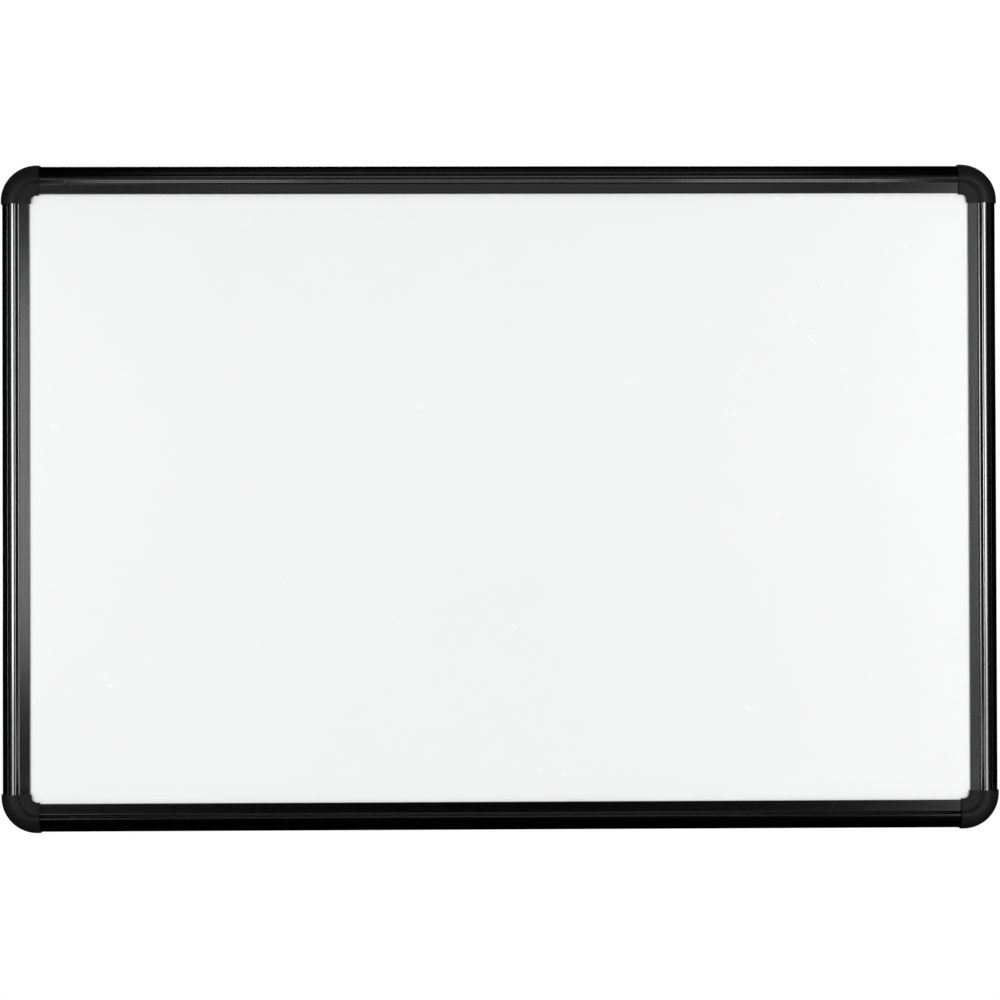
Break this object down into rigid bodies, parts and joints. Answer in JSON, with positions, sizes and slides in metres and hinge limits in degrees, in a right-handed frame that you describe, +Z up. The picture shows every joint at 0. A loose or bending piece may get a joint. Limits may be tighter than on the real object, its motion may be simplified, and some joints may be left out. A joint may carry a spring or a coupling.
{
  "type": "whiteboard",
  "caption": "Wall-hung dry-erase board: white enamelled sheet on a flat core in a black aluminium frame with rounded corner caps, hung on sliding wall clips.",
  "frame": {"origin": "middle of the top rail's flat rear face, in the plane of the wall", "axes": "+X to the right seen from the front, +Y into the wall (the writing surface faces -Y), +Z up"},
  "size_m": [0.9164, 0.0202, 0.6124],
  "materials": {
    "enamel": "semi-gloss white enamel",
    "core": "raw fibreboard",
    "backing": "mill",
    "rail": "black anodised, satin",
    "cap": "finely textured black",
    "key": "as cast",
    "screw": "zinc plated",
    "clip": "galvanised"
  },
  "bodies": {
    "board": {"writing_surface": "enamel", "panel_core": "core", "backing_sheet": "backing", "top_rail": "rail", "bottom_rail": "rail", "left_rail": "rail", "right_rail": "rail", "top_left_cap": "cap", "top_left_key": "key", "top_left_set_screw_a": "screw", "top_left_set_screw_b": "screw", "top_left_cap_screw": "screw", "top_right_cap": "cap", "top_right_key": "key", "top_right_set_screw_a": "screw", "top_right_set_screw_b": "screw", "top_right_cap_screw": "screw", "bottom_left_cap": "cap", "bottom_left_key": "key", "bottom_left_set_screw_a": "screw", "bottom_left_set_screw_b": "screw", "bottom_left_cap_screw": "screw", "bottom_right_cap": "cap", "bottom_right_key": "key", "bottom_right_set_screw_a": "screw", "bottom_right_set_screw_b": "screw", "bottom_right_cap_screw": "screw"},
    "top_left_clip": {"top_left_clip": "clip"},
    "top_right_clip": {"top_right_clip": "clip"},
    "bottom_left_clip": {"bottom_left_clip": "clip"},
    "bottom_right_clip": {"bottom_right_clip": "clip"}
  },
  "joints": [
    {"name": "top_left_clip_slide", "type": "slide", "parent": "board", "child": "top_left_clip", "axis": [1, 0, 0], "range_m": [-0.095, 0.28]},
    {"name": "top_right_clip_slide", "type": "slide", "parent": "board", "child": "top_right_clip", "axis": [1, 0, 0], "range_m": [-0.28, 0.095]},
    {"name": "bottom_left_clip_slide", "type": "slide", "parent": "board", "child": "bottom_left_clip", "axis": [1, 0, 0], "range_m": [-0.095, 0.28]},
    {"name": "bottom_right_clip_slide", "type": "slide", "parent": "board", "child": "bottom_right_clip", "axis": [1, 0, 0], "range_m": [-0.28, 0.095]}
  ]
}
